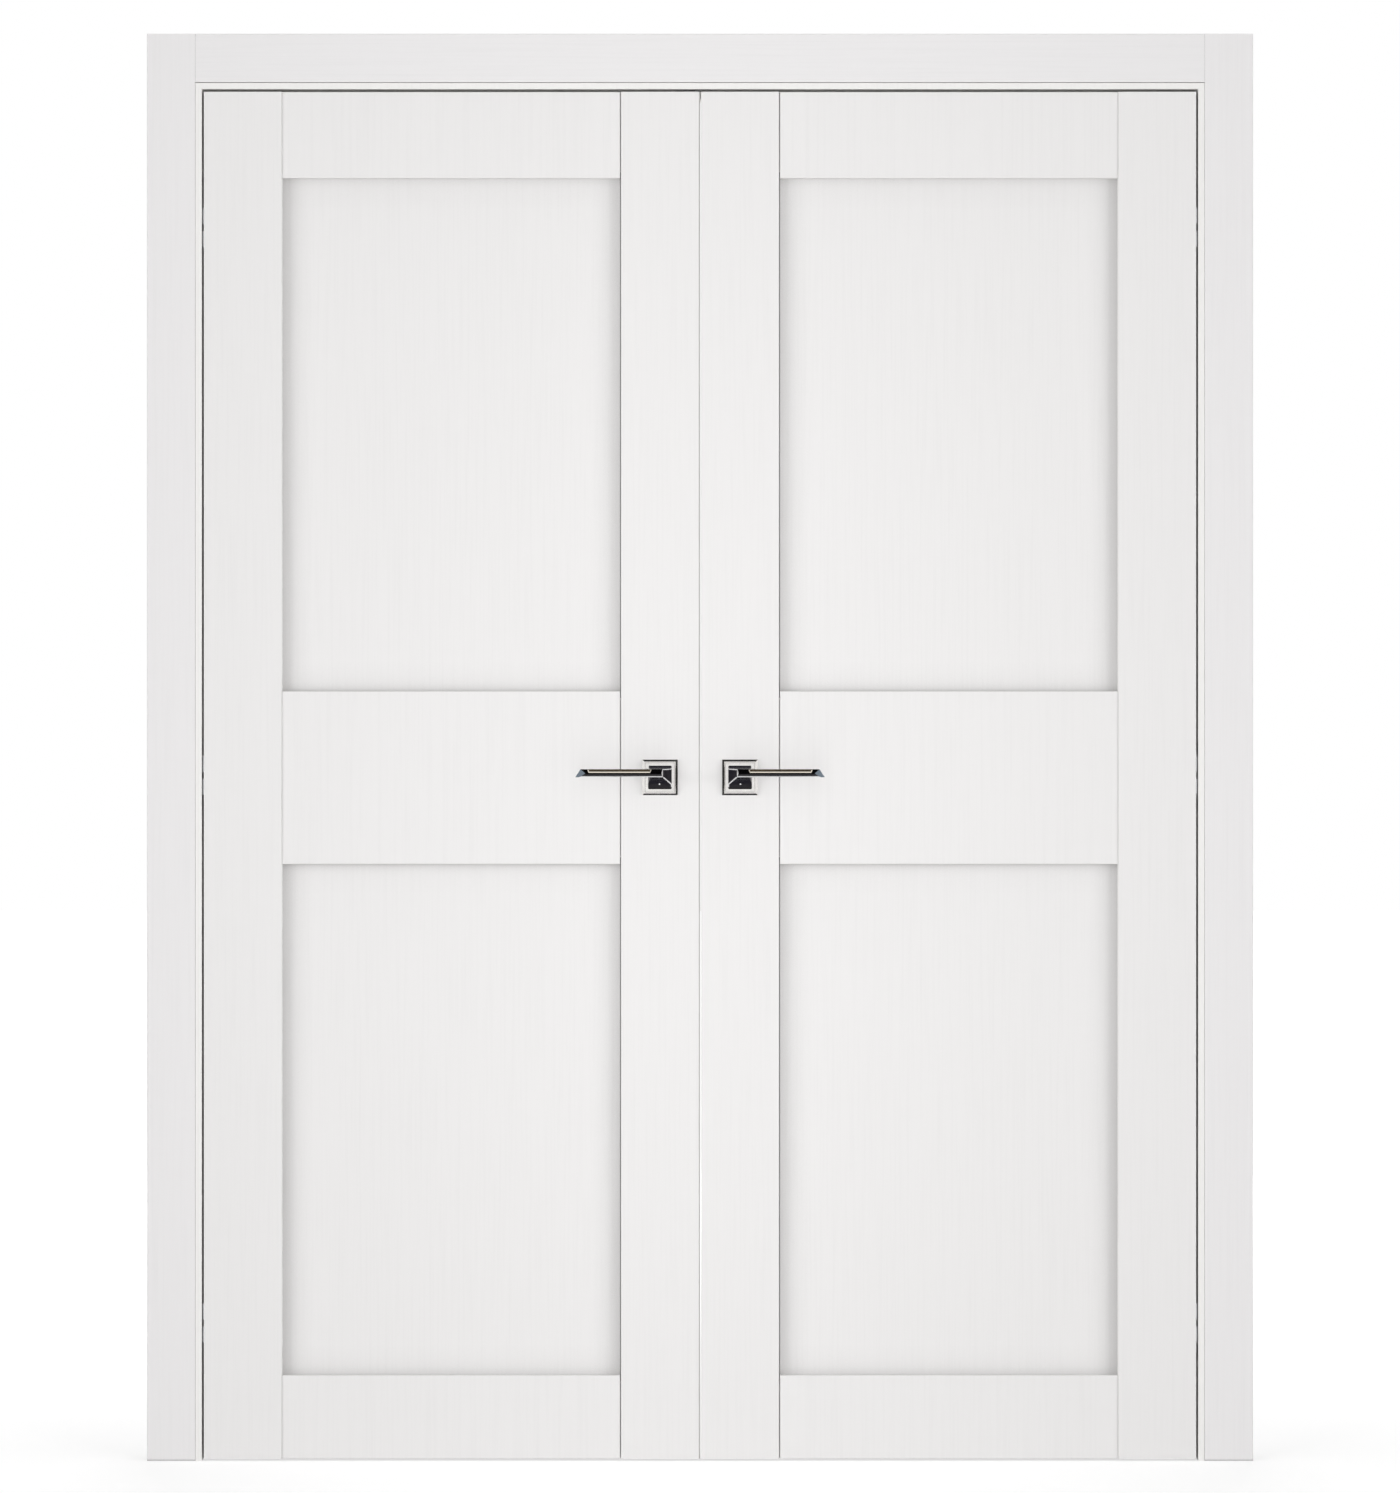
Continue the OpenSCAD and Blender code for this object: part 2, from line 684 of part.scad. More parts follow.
module upper_panel(side) panel(side, upper_panel_z, upper_panel_h);
module lower_panel(side) panel(side, lower_panel_z, lower_panel_h);

module leaf_screws(side) color(steel) on(side) {
    for (z = hinge_z) translate([axis_x, 0, z]) mirror([1, 0, 0]) cup_screws();
    rose_bolt_pair();
    if (side == "right") edge_screws(case_z, faceplate_h);
    if (side == "left") {
        edge_screws(latch_z, strike_h);
        for (end = ["top", "bottom"]) on_end(end) bolt_plate_screw();
    }
}

// The two screws of a plate in the meeting edge
module edge_screws(z, h, grow = 0) for (s = [-1, 1])
    translate([meet_x, mid_y, z + s * (h / 2 - screw_end)]) wood_screw(grow);

module edge_plate_recess(z, h) {
    edge_plate(meet_x - cut, edge_plate_t + let_in_gap + cut, mid_y, z, edge_plate_w, h, let_in_gap);
}

// Latch of the right leaf

module case_box(grow = 0) box(
    [meet_x + edge_plate_t, mid_y - case_t / 2 - grow, case_z - case_h / 2 - grow],
    [meet_x + edge_plate_t + case_d + grow, mid_y + case_t / 2 + grow, case_z + case_h / 2 + grow]
);

module latch_pocket() {
    case_box(let_in_gap);
    edge_plate_recess(case_z, faceplate_h);
    edge_screws(case_z, faceplate_h, let_in_gap);
}

module latch_case() color(zinc) difference() {
    case_box();
    box(
        [meet_x, mid_y - case_t / 2 + case_wall, case_z - case_h / 2 + case_wall],
        [
            meet_x + edge_plate_t + case_d - case_wall, mid_y + case_t / 2 - case_wall,
            case_z + case_h / 2 - case_wall
        ]
    );
    rod_y([handle_x, 0, handle_z], leaf_t, hub_journal_d + 2 * run_gap);
    rose_bolt_pair(slide_gap);
}

module latch_faceplate() color(steel) difference() {
    edge_plate(meet_x, edge_plate_t, mid_y, case_z, edge_plate_w, faceplate_h);
    latch_head(slide_gap);
    edge_screws(case_z, faceplate_h, let_in_gap);
}

module latch_head(grow = 0) box(
    [meet_x + slide_gap - 2 * grow, mid_y - latch_t / 2 - grow, latch_z - latch_h / 2 - grow],
    [meet_x + latch_l, mid_y + latch_t / 2 + grow, latch_z + latch_h / 2 + grow]
);

// A block behind the faceplate, with a stem that guides it in the case
module latch_bolt() color(seal_white) {
    latch_head();
    box(
        [meet_x + latch_l - cut, mid_y - latch_t / 4, latch_z - latch_h / 4],
        [handle_x + hub_d / 2, mid_y + latch_t / 4, latch_z + latch_h / 4]
    );
}

module latch_hub() color(zinc) translate([handle_x, mid_y, handle_z]) difference() {
    union() {
        rod_y([0, -hub_t / 2, 0], hub_t, hub_d);
        rod_y([0, -case_t / 2, 0], case_t, hub_journal_d);
        box([-hub_d / 6, -hub_t / 2, 0], [hub_d / 6, hub_t / 2, hub_nose_r]);
    }
    cube([spindle_w, case_t + 2 * cut, spindle_w], center = true);
}

// Edge of the left leaf: strike, flush bolts and seal

module strike_box(grow = 0) box(
    [meet_x + edge_plate_t - cut, mid_y - case_t / 2 - grow, latch_z - latch_h / 2 - case_wall - grow],
    [meet_x + strike_box_d + grow, mid_y + case_t / 2 + grow, latch_z + latch_h / 2 + case_wall + grow]
);

module strike_plate() color(steel) on("left") difference() {
    union() {
        edge_plate(meet_x, edge_plate_t, mid_y, latch_z, edge_plate_w, strike_h);
        strike_box();
    }
    box(
        [meet_x - cut, mid_y - case_t / 2 + case_wall, latch_z - latch_h / 2 - strike_side],
        [
            meet_x + strike_box_d - case_wall, mid_y + case_t / 2 - case_wall,
            latch_z + latch_h / 2 + strike_side
        ]
    );
    edge_screws(latch_z, strike_h, let_in_gap);
}

// A flush bolt is drawn for the top of the leaf, and turned over for the bottom
module on_end(end) {
    if (end == "top") translate([0, 0, bolt_z[1]]) children();
    else translate([0, 0, bolt_z[0]]) mirror([0, 0, 1]) children();
}

// Its one screw is at the end away from the rod
module bolt_plate_screw(grow = 0)
    translate([meet_x, mid_y, screw_end - bolt_plate_h / 2]) wood_screw(grow);

module channel_box(grow = 0) box(
    [meet_x + edge_plate_t - cut, mid_y - channel_w / 2 - grow, -bolt_channel_h / 2 - grow],
    [meet_x + edge_plate_t + bolt_channel_d + grow, mid_y + channel_w / 2 + grow, bolt_channel_h / 2 + grow]
);

module bolt_channel() difference() {
    union() {
        edge_plate(meet_x, edge_plate_t, mid_y, 0, edge_plate_w, bolt_plate_h);
        channel_box();
    }
    box(
        [meet_x + edge_plate_t, mid_y - slider_w / 2 - slide_gap, -bolt_slider_h / 2 - slide_gap],
        [
            meet_x + edge_plate_t + bolt_channel_d - case_wall, mid_y + slider_w / 2 + slide_gap,
            bolt_slider_h / 2 + bolt_throw + slide_gap
        ]
    );
    box(
        [meet_x - cut, mid_y - tab_w / 2 - slide_gap, -bolt_tab_h / 2 - slide_gap],
        [bolt_x, mid_y + tab_w / 2 + slide_gap, bolt_tab_h / 2 + bolt_throw + slide_gap]
    );
    rod_z([bolt_x, mid_y, 0], bolt_channel_h, bolt_rod_d + 2 * run_gap);
    bolt_plate_screw(let_in_gap);
}

module flush_bolt_channels() color(steel) on("left")
    for (end = ["top", "bottom"]) on_end(end) bolt_channel();

module flush_bolt(end) color(chrome) on("left") on_end(end) {
    rod_z([bolt_x, mid_y, 0], bolt_centre - cut, bolt_rod_d);
    box(
        [meet_x + edge_plate_t + slide_gap, mid_y - slider_w / 2, -bolt_slider_h / 2],
        [
            meet_x + edge_plate_t + bolt_channel_d - case_wall - slide_gap, mid_y + slider_w / 2,
            bolt_slider_h / 2
        ]
    );
    box(
        [meet_x + slide_gap, mid_y - tab_w / 2, -bolt_tab_h / 2],
        [bolt_x, mid_y + tab_w / 2, bolt_tab_h / 2]
    );
}

module passive_edge_pockets() {
    strike_box(let_in_gap);
    edge_plate_recess(latch_z, strike_h);
    edge_screws(latch_z, strike_h, let_in_gap);
    for (end = ["top", "bottom"]) on_end(end) {
        channel_box(let_in_gap);
        edge_plate_recess(0, bolt_plate_h);
        bolt_plate_screw(let_in_gap);
        rod_z([bolt_x, mid_y, 0], bolt_centre + cut, bolt_rod_d + 2 * rod_room);
    }
    box(
        [meet_x - cut, seal_y - seal_slot_w / 2, leaf_z0 - cut],
        [meet_x + seal_slot_d, seal_y + seal_slot_w / 2, leaf_z1 + cut]
    );
}

module meeting_seal() color(seal_white) on("left") run_z(leaf_z0, leaf_z1) polygon([
    [meet_x - seal_lip, seal_y - seal_slot_w / 4], [meet_x, seal_y - seal_slot_w / 2 + let_in_gap],
    [meet_x + seal_slot_d - groove_room, seal_y - seal_slot_w / 2 + let_in_gap],
    [meet_x + seal_slot_d - groove_room, seal_y + seal_slot_w / 2 - let_in_gap],
    [meet_x, seal_y + seal_slot_w / 2 - let_in_gap], [meet_x - seal_lip, seal_y + seal_slot_w / 4]
]);

// Handles: drawn at the front of the right leaf, with the lever towards +X

module rose_bolt_pair(grow = 0) for (s = [-1, 1])
    rod_y(
        [handle_x + s * rose_bolt_pitch / 2, -rose_t / 2 - grow, handle_z],
        leaf_t + rose_t + 2 * grow, rose_bolt_d + 2 * grow
    );

// A square slab whose front lies at a distance d from the leaf
module slab(w, d) translate([handle_x - w / 2, -d, handle_z - w / 2]) cube([w, slice, w]);

// A rose rises from its rim to its field in a hollow curve
function rose_step(t) = [
    rose_field_w + (rose_w - rose_field_w) * pow(1 - t, 2),
    rose_rim_t + (rose_t - rose_rim_t) * t
];

module rose(side, face) color(chrome) on(side) on_face(face) difference() {
    union() {
        translate([handle_x - rose_w / 2, -rose_rim_t, handle_z - rose_w / 2])
            cube([rose_w, rose_rim_t, rose_w]);
        for (i = [0:3]) hull() {
            slab(rose_step(i / 4)[0], rose_step(i / 4)[1]);
            slab(rose_step((i + 1) / 4)[0], rose_step((i + 1) / 4)[1]);
        }
    }
    rod_y([handle_x, -rose_t - cut, handle_z], rose_t + 2 * cut, shank_d + 2 * run_gap);
    rose_bolt_pair(let_in_gap);
}

// The bar is what its outlines from the front, from the end and from above have in common
module bar_outline() polygon([
    [-bar_tail, bar_z0], [bar_reach, bar_z0], [bar_reach - tip_slant, bar_z1], [-bar_tail, bar_z1]
]);
module bar_section() polygon([
    [-bar_stand, bar_z0], [-bar_stand, bar_z1], [-bar_front + facet_d, bar_z1],
    [-bar_front, bar_rise], [-bar_front + facet_d * (1 - 2 * bar_edge / bar_h), bar_z0 + bar_edge],
    [-bar_front + facet_d + bar_edge, bar_z0]
]);
module bar_plan() polygon([
    [-bar_tail, -bar_stand], [-bar_tail, -bar_front + end_slope_d], [end_edge - bar_tail, -bar_front],
    [bar_reach - tip_facet, -bar_front], [bar_reach, -bar_front + end_slope_d], [bar_reach, -bar_stand]
]);

module bar() intersection() {
    rotate([90, 0, 0]) linear_extrude(bar_front + cut) bar_outline();
    run_x(-bar_tail - cut, bar_reach + cut) bar_section();
    run_z(bar_z0 - cut, bar_z1 + cut) bar_plan();
}

// A slice across the neck from corner a to corner b, at a distance d from the leaf
module neck_slice(d, a, b) translate([0, -d, 0]) rotate([90, 0, 0]) linear_extrude(slice)
    arris_rect(a, b, neck_edge);

module neck_foot() neck_slice(neck_d0, -[neck_base_w, neck_base_w] / 2, [neck_base_w, neck_base_w] / 2);
module neck_middle() neck_slice(neck_waist, [-neck_base_w / 2, neck_z0], [neck_base_w / 2, neck_z1]);
module neck_top() translate([neck_inset - bar_tail, 0, 0])
    neck_slice(bar_stand + neck_bite, [0, bar_z0 + neck_inset], [neck_top_w, bar_z1 - neck_inset]);

// The neck stands on a block that leans in above and below, and runs up from there to the bar
module neck() {
    hull() {
        neck_foot();
        neck_middle();
    }
    hull() {
        neck_middle();
        neck_top();
    }
}

// The inlay stands on the upper facet, mitred at both ends and sloped all round
module inlay_outline() polygon([
    [inlay_start + inlay_mitre, inlay_margin], [bar_reach - inlay_end - inlay_mitre, inlay_margin],
    [bar_reach - inlay_end, facet_l - inlay_margin], [inlay_start, facet_l - inlay_margin]
]);
module inlay() translate([0, -bar_front, bar_rise]) rotate([90 - facet_tilt, 0, 0]) {
    translate([0, 0, -inlay_t]) linear_extrude(inlay_t) inlay_outline();
    hull() {
        linear_extrude(slice) inlay_outline();
        translate([0, 0, inlay_proud - slice]) linear_extrude(slice) offset(delta = -inlay_edge)
            inlay_outline();
    }
}

// The grub screw stands under the spindle, in a hole through the lower face of the neck
module grub_rod(z, d) rod_z([0, -grub_y, z], -spindle_w / 2 - z, d);

module lever(side, face) color(chrome) on(side) on_face(face) translate([handle_x, 0, handle_z]) {
    difference() {
        union() {
            rod_y([0, -neck_d0 - cut, 0], neck_d0 + cut - rose_rim_t, shank_d);
            neck();
            bar();
        }
        box([-spindle_w / 2, -spindle_reach, -spindle_w / 2], [spindle_w / 2, cut, spindle_w / 2]);
        inlay();
        grub_rod(-neck_base_w / 2 - cut, grub_d + 2 * let_in_gap);
    }
    grub_rod(neck_z0 - grub_proud, grub_d);
}

module lever_inlays(side) color(satin) on(side) for (face = ["front", "back"])
    on_face(face) translate([handle_x, 0, handle_z]) inlay();

module spindle(side) color(steel) on(side) box(
    [handle_x - spindle_w / 2, -spindle_reach, handle_z - spindle_w / 2],
    [handle_x + spindle_w / 2, leaf_t + spindle_reach, handle_z + spindle_w / 2]
);

jamb_leg("left");  // left_jamb
jamb_leg("right");  // right_jamb
head_jamb();
stop_leg("left");  // left_stop
stop_leg("right");  // right_stop
head_stop();
side_casing("left", "front");  // left_front_casing
side_casing("right", "front");  // right_front_casing
head_casing("front");  // head_front_casing
side_casing("left", "back");  // left_back_casing
side_casing("right", "back");  // right_back_casing
head_casing("back");  // head_back_casing
frame_gasket();
top_bolt_strike();
frame_screws();
frame_hinge_cups("left");  // left_frame_hinge_cups
frame_hinge_cups("right");  // right_frame_hinge_cups
hinge_arms("left");  // left_hinge_arms
hinge_arms("right");  // right_hinge_arms
hinge_stile("left");  // left_hinge_stile
lock_stile("left");  // left_lock_stile
top_rail("left");  // left_top_rail
middle_rail("left");  // left_middle_rail
bottom_rail("left");  // left_bottom_rail
upper_panel("left");  // left_upper_panel
lower_panel("left");  // left_lower_panel
dowels("left");  // left_dowels
leaf_hinge_cups("left");  // left_leaf_hinge_cups
leaf_screws("left");  // left_leaf_screws
rose("left", "front");  // left_front_rose
rose("left", "back");  // left_back_rose
meeting_seal();
strike_plate();
flush_bolt_channels();
flush_bolt("top");  // top_flush_bolt
flush_bolt("bottom");  // bottom_flush_bolt
hinge_stile("right");  // right_hinge_stile
lock_stile("right");  // right_lock_stile
top_rail("right");  // right_top_rail
middle_rail("right");  // right_middle_rail
bottom_rail("right");  // right_bottom_rail
upper_panel("right");  // right_upper_panel
lower_panel("right");  // right_lower_panel
dowels("right");  // right_dowels
leaf_hinge_cups("right");  // right_leaf_hinge_cups
leaf_screws("right");  // right_leaf_screws
rose("right", "front");  // right_front_rose
rose("right", "back");  // right_back_rose
latch_case();
latch_faceplate();
latch_hub();
latch_bolt();
lever("left", "front");  // left_front_lever
lever("left", "back");  // left_back_lever
lever_inlays("left");  // left_lever_inlays
spindle("left");  // left_spindle
lever("right", "front");  // right_front_lever
lever("right", "back");  // right_back_lever
lever_inlays("right");  // right_lever_inlays
spindle("right");  // right_spindle
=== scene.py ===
# %% [markdown]
# This lesson dresses a prehung double door: two white panelled leaves with chrome lever handles,
# hung in a lined frame. The wood and the fittings come in as finished solids, so most of the work
# is on the finishes, the bright edges of the handles, the light and the camera.

# %% Load the frame
import json
import math

import bpy
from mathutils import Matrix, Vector


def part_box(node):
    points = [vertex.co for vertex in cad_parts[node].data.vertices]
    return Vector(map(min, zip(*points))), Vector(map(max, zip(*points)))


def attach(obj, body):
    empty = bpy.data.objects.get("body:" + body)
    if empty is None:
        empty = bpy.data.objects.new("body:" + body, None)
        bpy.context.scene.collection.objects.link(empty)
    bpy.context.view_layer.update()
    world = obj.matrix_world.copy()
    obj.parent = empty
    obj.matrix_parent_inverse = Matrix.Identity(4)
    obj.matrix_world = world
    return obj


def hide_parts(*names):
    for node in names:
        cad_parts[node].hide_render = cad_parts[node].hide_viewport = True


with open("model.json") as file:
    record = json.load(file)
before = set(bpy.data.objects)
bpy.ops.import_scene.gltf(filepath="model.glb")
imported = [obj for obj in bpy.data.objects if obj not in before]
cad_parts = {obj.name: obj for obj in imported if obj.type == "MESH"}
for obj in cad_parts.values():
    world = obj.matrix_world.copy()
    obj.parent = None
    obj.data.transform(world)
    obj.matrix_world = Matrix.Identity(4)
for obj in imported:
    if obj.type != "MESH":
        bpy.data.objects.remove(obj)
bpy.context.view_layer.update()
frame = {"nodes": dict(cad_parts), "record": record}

bpy.ops.object.select_all(action="DESELECT")
scene = bpy.context.scene
nodes = frame["nodes"]

# %% [markdown]
# The photograph looks straight at the door. A long lens far away keeps the upright lines upright.
# The frame's height at the door's face is known from the scale of the photograph, so the lens
# follows from the distance: focal length over sensor height equals distance over view height.

# %% Camera
PHOTO_SCALE = 0.0014862
PHOTO_HEIGHT = 1493
FLOOR_ROW = 1461.0
CAMERA_DISTANCE = 9.0
SENSOR_HEIGHT = 36.0
VIEW_LIMIT = 100.0

view_height = PHOTO_HEIGHT * PHOTO_SCALE
eye_height = (FLOOR_ROW - PHOTO_HEIGHT / 2) * PHOTO_SCALE
level = (math.radians(90), 0, 0)
bpy.ops.object.camera_add(location=(0, -CAMERA_DISTANCE, eye_height), rotation=level)
camera = bpy.context.object
camera.name = "photo_camera"
camera.data.sensor_fit = "VERTICAL"
camera.data.sensor_height = SENSOR_HEIGHT
camera.data.lens = SENSOR_HEIGHT * CAMERA_DISTANCE / view_height
camera.data.clip_end = VIEW_LIMIT
scene.camera = camera
print("camera at", round(eye_height, 3), "m with a lens of", round(camera.data.lens, 1), "mm")

# %% [markdown]
# A white studio fills every shadow, so the world gives the same soft light from all round. The camera
# and the polished metal see it as plain white, whatever its strength as a light.

# %% World
scene.view_settings.view_transform = "Standard"
FILL_LIGHT = 0.31


def add_node(tree, kind, **values):
    node = tree.nodes.new(kind)
    for socket, value in values.items():
        node.inputs[socket].default_value = value
    return node


def wire(tree, source, target):
    tree.links.new(source, target)


def seen_or_lit(tree, seen, lit):
    """Gives one strength to the eye and to mirrors, and another to soft light."""
    path = tree.nodes.new("ShaderNodeLightPath")
    for ray in ("Is Glossy Ray", "Is Transmission Ray", "Is Camera Ray"):
        mix = tree.nodes.new("ShaderNodeMix")
        wire(tree, path.outputs[ray], mix.inputs["Factor"])
        for socket, value in ((mix.inputs["A"], lit), (mix.inputs["B"], seen)):
            if isinstance(value, float):
                socket.default_value = value
            else:
                wire(tree, value, socket)
        lit = mix.outputs["Result"]
    return lit


world = bpy.data.worlds.new("white_studio")
scene.world = world
world.use_nodes = True
tree = world.node_tree
tree.nodes.clear()
studio = add_node(tree, "ShaderNodeBackground", Color=(1, 1, 1, 1))
wire(tree, seen_or_lit(tree, 1.0, FILL_LIGHT), studio.inputs["Strength"])
output = tree.nodes.new("ShaderNodeOutputWorld")
wire(tree, studio.outputs[0], output.inputs["Surface"])
print("world: white, with a fill of", FILL_LIGHT)

# %% [markdown]
# Two wide soft boxes stand well out to the sides, in front of the door. Each is hidden from a strip
# of the panels by the stile beside it, which shades the upright edges softly, and each catches the
# arrises beside the gaps. A small box in front lifts the middle of the door above its outer edges,
# one behind lights the back, and one overhead lays the door's shadow on the floor. Their reflections
# would only blur the metal, so it doesn't see them. The table gives each box its place, its width
# and height in metres, and its power in watts.

# %% Soft boxes
SOFT_BOXES = {
    "left_soft_box": ((-8.2, -5.7, 1.1), (6.0, 2.6), 424.0),
    "right_soft_box": ((8.2, -5.7, 1.1), (6.0, 2.6), 424.0),
    "front_soft_box": ((0, -1.3, 0.92), (0.4, 2.9), 7.2),
    "back_soft_box": ((0, 6.0, 2.2), (4.0, 3.0), 190.0),
    "top_soft_box": ((0, 0, 5.0), (2.0, 2.0), 28.0),
}


def soft_box(name, place, size, power):
    turn = (Vector((0, 0, eye_height)) - Vector(place)).to_track_quat("-Z", "Y").to_euler()
    bpy.ops.object.light_add(type="AREA", location=place, rotation=turn)
    lamp = bpy.context.object
    lamp.name = name
    lamp.data.shape = "RECTANGLE"
    lamp.data.size, lamp.data.size_y = size
    lamp.data.energy = power
    lamp.visible_camera = False
    lamp.visible_glossy = False


for name, (place, size, power) in SOFT_BOXES.items():
    soft_box(name, place, size, power)

# %% [markdown]
# Close to the door part of the floor's white is diffuse light, which leaves a soft shadow there.
# Further out the floor glows by itself, and meets the white of the world without a line.

# %% Floor
FLOOR_SIZE = 60.0
FLOOR_TONE = 0.60
FLOOR_FILL = 0.09
GLOW_NEAR, GLOW_FAR = 0.57, 1.0
GLOW_START, GLOW_END = 0.8, 5.0

bpy.ops.mesh.primitive_plane_add(size=FLOOR_SIZE, location=(0, 0, 0))
floor = bpy.context.object
floor.name = "studio_floor"
bpy.ops.object.mode_set(mode="EDIT")
bpy.ops.mesh.subdivide(number_cuts=3)
bpy.ops.object.mode_set(mode="OBJECT")
paint = bpy.data.materials.new("floor_white")
paint.use_nodes = True
tree = paint.node_tree
tree.nodes.clear()
spot = tree.nodes.new("ShaderNodeTexCoord")
distance = tree.nodes.new("ShaderNodeVectorMath")
distance.operation = "LENGTH"
wire(tree, spot.outputs["Object"], distance.inputs[0])
limits = {"From Min": GLOW_START, "From Max": GLOW_END, "To Min": GLOW_NEAR, "To Max": GLOW_FAR}
glow = add_node(tree, "ShaderNodeMapRange", **limits)
wire(tree, distance.outputs["Value"], glow.inputs["Value"])
shade = add_node(tree, "ShaderNodeBsdfDiffuse", Color=(FLOOR_TONE, FLOOR_TONE, FLOOR_TONE, 1))
shine = tree.nodes.new("ShaderNodeEmission")
wire(tree, seen_or_lit(tree, glow.outputs["Result"], FLOOR_FILL), shine.inputs["Strength"])
total = tree.nodes.new("ShaderNodeAddShader")
wire(tree, shade.outputs[0], total.inputs[0])
wire(tree, shine.outputs[0], total.inputs[1])
output = tree.nodes.new("ShaderNodeOutputMaterial")
wire(tree, total.outputs[0], output.inputs["Surface"])
floor.data.materials.append(paint)
print("floor of", FLOOR_SIZE, "m, glowing from", GLOW_NEAR, "near the door to", GLOW_FAR, "far out")

# %% [markdown]
# A photographer sets black cards round chrome so that its edges stand out from a white ground. On
# each face of the door one small card stands between the two roses, one hangs overhead and one lies
# on the floor. Only the metal sees them. They draw the dark lines along the meeting side, the top
# and the foot of each rose, and blacken the faces of the levers. OUT is a card's distance from the
# wood, and the overhead card hangs by its RISE above the handles.

# %% Black cards
CARD_TONE = 0.01
CARD_CORNER = 1 / 12
MIDDLE_OUT, MIDDLE_SIZE = 0.085, (0.16, 0.15)
OVERHEAD_OUT, OVERHEAD_RISE, OVERHEAD_SIZE = 0.71, 1.6, (1.2, 0.98)
GROUND_OUT, GROUND_LIFT, GROUND_SIZE = 0.55, 0.002, (1.2, 0.66)

black = bpy.data.materials.new("card_black")
black.use_nodes = True
black_paint = black.node_tree.nodes["Principled BSDF"]
black_paint.inputs["Base Color"].default_value = (CARD_TONE, CARD_TONE, CARD_TONE, 1)


def black_card(name, center, size, upright=False):
    turn = (0, math.radians(90) if upright else 0, 0)
    bpy.ops.mesh.primitive_plane_add(size=1, location=center, rotation=turn)
    card = bpy.context.object
    card.name = name
    card.scale = (*size, 1)
    bpy.ops.object.transform_apply(location=True, rotation=True, scale=True)
    bpy.ops.object.mode_set(mode="EDIT")
    bpy.ops.mesh.bevel(offset=min(size) * CARD_CORNER, segments=3, affect="VERTICES")
    bpy.ops.object.mode_set(mode="OBJECT")
    card.data.materials.append(black)
    card.visible_camera = card.visible_diffuse = False
    card.visible_shadow = card.visible_transmission = False


for face, out in (("front", -1), ("back", 1)):
    rose_low, rose_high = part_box(f"left_{face}_rose")
    wood = rose_high.y if out < 0 else rose_low.y
    height = (rose_low.z + rose_high.z) / 2
    between = (0, wood + out * MIDDLE_OUT, height)
    above = (0, wood + out * OVERHEAD_OUT, height + OVERHEAD_RISE)
    below = (0, wood + out * GROUND_OUT, GROUND_LIFT)
    black_card(f"{face}_middle_card", between, MIDDLE_SIZE, upright=True)
    black_card(f"{face}_overhead_card", above, OVERHEAD_SIZE)
    black_card(f"{face}_floor_card", below, GROUND_SIZE)

# %% [markdown]
# The wood is wrapped in a white foil with a faint embossed grain. The grain is a noise that is
# stretched along the grain: it moves the colour by a few percent, makes the pores a little rougher and
# presses them in. One recipe serves the leaves, the casings and the jambs, each with its own white,
# and the head casing has it lying along X. Shade is painted into the colour where walls stand close,
# so the panels darken towards their edges and the side casings in their joints. An ambient occlusion
# node finds such places: each pair below is how dark the painted shade gets and how far a wall
# reaches.

# %% Foil finishes
GRAIN_ACROSS = 260.0
GRAIN_ALONG = 5.0
PORE_TONE, RIDGE_TONE = 0.980, 1.006
PORE_STOP, FACE_STOP, RIDGE_STOP = 0.30, 0.52, 0.75
PORE_ROUGHNESS, RIDGE_ROUGHNESS = 0.49, 0.39
FOIL_SHINE = 0.35
EMBOSS_STRENGTH, EMBOSS_DEPTH = 0.06, 0.00012
# Painted shade near close walls: how dark the colour gets, and how far a wall reaches.
PANEL_PAINTED_SHADE = (0.54, 0.045)
CASING_PAINTED_SHADE = (0.95, 0.004)
PAINTED_SHADE_SAMPLES = 4
LEAF_WHITE = (0.845, 0.834, 0.829)
NOISE_ROUGHNESS = 0.55
NOISE_LOW, NOISE_HIGH = 0.3, 0.7


def new_finish(name):
    finish = bpy.data.materials.new(name)
    finish.use_nodes = True
    return finish, finish.node_tree, finish.node_tree.nodes["Principled BSDF"]


def stretched_noise(node_tree, scale, detail=4.0):
    place = node_tree.nodes.new("ShaderNodeTexCoord")
    stretch = add_node(node_tree, "ShaderNodeMapping", Scale=scale)
    wire(node_tree, place.outputs["Object"], stretch.inputs["Vector"])
    noise = add_node(node_tree, "ShaderNodeTexNoise", Scale=1.0, Detail=detail)
    noise.inputs["Roughness"].default_value = NOISE_ROUGHNESS
    wire(node_tree, stretch.outputs[0], noise.inputs["Vector"])
    return noise.outputs["Fac"]


def ramp(node_tree, factor, *stops):
    node = node_tree.nodes.new("ShaderNodeValToRGB")
    band = node.color_ramp.elements
    while len(band) < len(stops):
        band.new(1.0)
    for element, (position, color) in zip(band, stops):
        element.position = position
        element.color = (*color, 1)
    wire(node_tree, factor, node.inputs["Fac"])
    return node.outputs["Color"]


def spread(node_tree, factor, low, high):
    """Turns the usual range of a noise into a range of another value."""
    limits = {"From Min": NOISE_LOW, "From Max": NOISE_HIGH, "To Min": low, "To Max": high}
    node = add_node(node_tree, "ShaderNodeMapRange", **limits)
    wire(node_tree, factor, node.inputs["Value"])
    return node.outputs["Result"]


def press(node_tree, shader, factor, strength, depth):
    node = add_node(node_tree, "ShaderNodeBump", Strength=strength, Distance=depth)
    wire(node_tree, factor, node.inputs["Height"])
    wire(node_tree, node.outputs["Normal"], shader.inputs["Normal"])


def shaded(color, factor):
    return tuple(part * factor for part in color)


